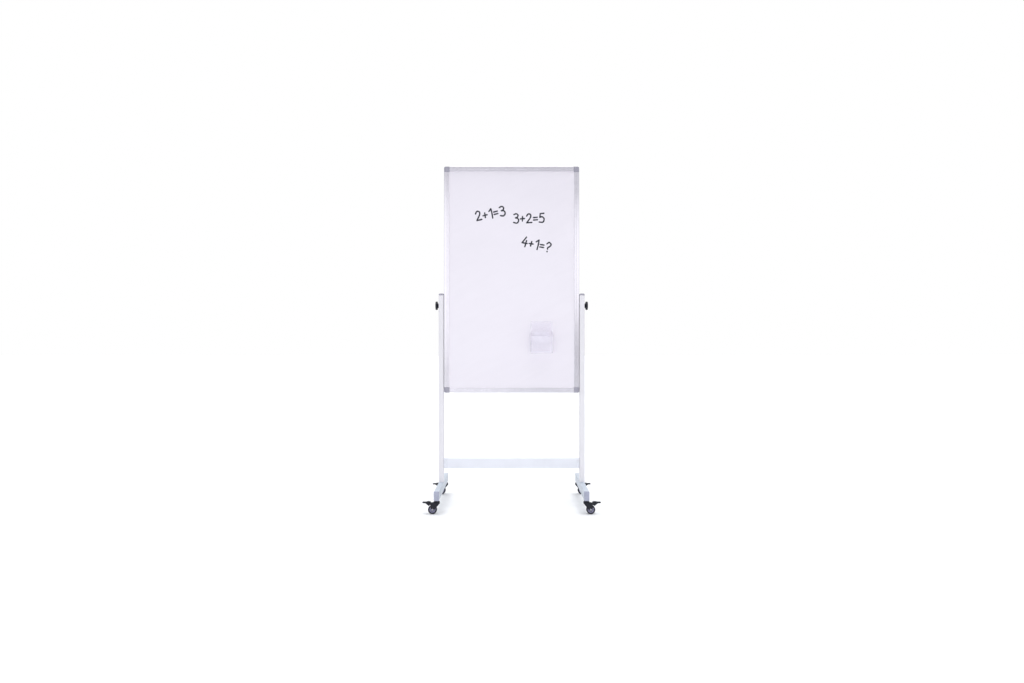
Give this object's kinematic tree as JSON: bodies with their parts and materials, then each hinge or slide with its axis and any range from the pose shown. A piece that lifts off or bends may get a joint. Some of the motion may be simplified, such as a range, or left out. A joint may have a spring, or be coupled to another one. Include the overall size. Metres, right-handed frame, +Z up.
{
  "type": "rolling whiteboard",
  "caption": "Tall framed whiteboard, writable on both sides, that flips between two posts on a wheeled H-shaped base with locking swivel casters, tightening knobs and a magnetic marker holder.",
  "frame": {"origin": "on the floor, under the centre of the base's bounding box", "axes": "+Z up, +X to the right as the reader sees the front writing surface, the front faces -Y"},
  "size_m": [0.7536, 0.52, 1.515],
  "materials": {
    "white_enamel": "gloss",
    "honeycomb_board": "matte",
    "brushed_aluminium": "satin",
    "grey_plastic": "satin",
    "white_powder_coat": "satin",
    "white_plastic": "satin",
    "zinc_steel": "satin",
    "black_plastic": "satin",
    "tyre_rubber": "matte",
    "hub_plastic": "satin",
    "nylon": "satin",
    "clear_plastic": "gloss",
    "white_magnet": "matte"
  },
  "bodies": {
    "stand": {"post_left": "white_powder_coat", "post_right": "white_powder_coat", "post_cap_left": "grey_plastic", "post_cap_right": "grey_plastic", "crossbar": "white_powder_coat", "crossbar_bracket_left": "white_plastic", "crossbar_bracket_right": "white_plastic", "foot_left": "white_powder_coat", "foot_right": "white_powder_coat", "foot_end_cap_left_front": "grey_plastic", "foot_end_cap_left_rear": "grey_plastic", "foot_end_cap_right_front": "grey_plastic", "foot_end_cap_right_rear": "grey_plastic", "caster_front_left_stem": "zinc_steel", "caster_front_right_stem": "zinc_steel", "caster_rear_left_stem": "zinc_steel", "caster_rear_right_stem": "zinc_steel"},
    "board": {"board_core": "honeycomb_board", "writing_surface_front": "white_enamel", "writing_surface_back": "white_enamel", "frame_rail_bottom": "brushed_aluminium", "frame_rail_top": "brushed_aluminium", "frame_rail_left": "brushed_aluminium", "frame_rail_right": "brushed_aluminium", "corner_cap_bottom_left": "grey_plastic", "corner_cap_bottom_right": "grey_plastic", "corner_cap_top_left": "grey_plastic", "corner_cap_top_right": "grey_plastic", "pivot_bolt_left": "zinc_steel", "pivot_bolt_right": "zinc_steel", "pivot_spacer_left": "nylon", "pivot_spacer_right": "nylon"},
    "holder": {"marker_holder": "clear_plastic", "holder_magnet": "white_magnet"},
    "knob_washer_left": {"knob_washer_left": "black_plastic"},
    "knob_left": {"knob_left": "black_plastic", "knob_insert_left": "zinc_steel"},
    "knob_washer_right": {"knob_washer_right": "black_plastic"},
    "knob_right": {"knob_right": "black_plastic", "knob_insert_right": "zinc_steel"},
    "caster_front_left_fork": {"caster_front_left_fork": "black_plastic", "caster_front_left_axle": "zinc_steel"},
    "caster_front_left_wheel": {"caster_front_left_tyre": "tyre_rubber", "caster_front_left_hub": "hub_plastic"},
    "caster_front_left_brake": {"caster_front_left_brake_pedal": "black_plastic"},
    "caster_front_right_fork": {"caster_front_right_fork": "black_plastic", "caster_front_right_axle": "zinc_steel"},
    "caster_front_right_wheel": {"caster_front_right_tyre": "tyre_rubber", "caster_front_right_hub": "hub_plastic"},
    "caster_front_right_brake": {"caster_front_right_brake_pedal": "black_plastic"},
    "caster_rear_left_fork": {"caster_rear_left_fork": "black_plastic", "caster_rear_left_axle": "zinc_steel"},
    "caster_rear_left_wheel": {"caster_rear_left_tyre": "tyre_rubber", "caster_rear_left_hub": "hub_plastic"},
    "caster_rear_left_brake": {"caster_rear_left_brake_pedal": "black_plastic"},
    "caster_rear_right_fork": {"caster_rear_right_fork": "black_plastic", "caster_rear_right_axle": "zinc_steel"},
    "caster_rear_right_wheel": {"caster_rear_right_tyre": "tyre_rubber", "caster_rear_right_hub": "hub_plastic"},
    "caster_rear_right_brake": {"caster_rear_right_brake_pedal": "black_plastic"}
  },
  "joints": [
    {"name": "board_tilt", "type": "hinge", "parent": "stand", "child": "board", "pos_m": [0, 0, 0.89], "axis": [1, 0, 0], "continuous": true},
    {"name": "holder_pull", "type": "slide", "parent": "board", "child": "holder", "axis": [0, -1, 0], "range_m": [0, 0.08]},
    {"name": "knob_travel_left", "type": "slide", "parent": "board", "child": "knob_washer_left", "axis": [-1, 0, 0], "range_m": [0, 0.0025]},
    {"name": "knob_turn_left", "type": "hinge", "parent": "knob_washer_left", "child": "knob_left", "pos_m": [-0.336, 0, 0.89], "axis": [-1, 0, 0], "range_deg": [0, 720]},
    {"name": "knob_travel_right", "type": "slide", "parent": "board", "child": "knob_washer_right", "axis": [1, 0, 0], "range_m": [0, 0.0025]},
    {"name": "knob_turn_right", "type": "hinge", "parent": "knob_washer_right", "child": "knob_right", "pos_m": [0.336, 0, 0.89], "axis": [1, 0, 0], "range_deg": [0, 720]},
    {"name": "caster_front_left_swivel", "type": "hinge", "parent": "stand", "child": "caster_front_left_fork", "pos_m": [-0.3163, -0.24, 0.05], "axis": [0, 0, 1], "continuous": true},
    {"name": "caster_front_left_roll", "type": "hinge", "parent": "caster_front_left_fork", "child": "caster_front_left_wheel", "pos_m": [-0.3343, -0.24, 0.019], "axis": [0, 1, 0], "continuous": true},
    {"name": "caster_front_left_brake", "type": "hinge", "parent": "caster_front_left_fork", "child": "caster_front_left_brake", "pos_m": [-0.3378, -0.24, 0.041], "axis": [0, -1, 0], "range_deg": [0, 12]},
    {"name": "caster_front_right_swivel", "type": "hinge", "parent": "stand", "child": "caster_front_right_fork", "pos_m": [0.3163, -0.24, 0.05], "axis": [0, 0, 1], "continuous": true},
    {"name": "caster_front_right_roll", "type": "hinge", "parent": "caster_front_right_fork", "child": "caster_front_right_wheel", "pos_m": [0.3343, -0.24, 0.019], "axis": [0, 1, 0], "continuous": true},
    {"name": "caster_front_right_brake", "type": "hinge", "parent": "caster_front_right_fork", "child": "caster_front_right_brake", "pos_m": [0.3378, -0.24, 0.041], "axis": [0, 1, 0], "range_deg": [0, 12]},
    {"name": "caster_rear_left_swivel", "type": "hinge", "parent": "stand", "child": "caster_rear_left_fork", "pos_m": [-0.3163, 0.24, 0.05], "axis": [0, 0, 1], "continuous": true},
    {"name": "caster_rear_left_roll", "type": "hinge", "parent": "caster_rear_left_fork", "child": "caster_rear_left_wheel", "pos_m": [-0.3343, 0.24, 0.019], "axis": [0, 1, 0], "continuous": true},
    {"name": "caster_rear_left_brake", "type": "hinge", "parent": "caster_rear_left_fork", "child": "caster_rear_left_brake", "pos_m": [-0.3378, 0.24, 0.041], "axis": [0, -1, 0], "range_deg": [0, 12]},
    {"name": "caster_rear_right_swivel", "type": "hinge", "parent": "stand", "child": "caster_rear_right_fork", "pos_m": [0.3163, 0.24, 0.05], "axis": [0, 0, 1], "continuous": true},
    {"name": "caster_rear_right_roll", "type": "hinge", "parent": "caster_rear_right_fork", "child": "caster_rear_right_wheel", "pos_m": [0.3343, 0.24, 0.019], "axis": [0, 1, 0], "continuous": true},
    {"name": "caster_rear_right_brake", "type": "hinge", "parent": "caster_rear_right_fork", "child": "caster_rear_right_brake", "pos_m": [0.3378, 0.24, 0.041], "axis": [0, 1, 0], "range_deg": [0, 12]}
  ],
  "couplings": [
    {"joint": "knob_travel_left", "follows": "knob_turn_left", "m_per_rad": 0.00019894},
    {"joint": "knob_travel_right", "follows": "knob_turn_right", "m_per_rad": 0.00019894}
  ]
}
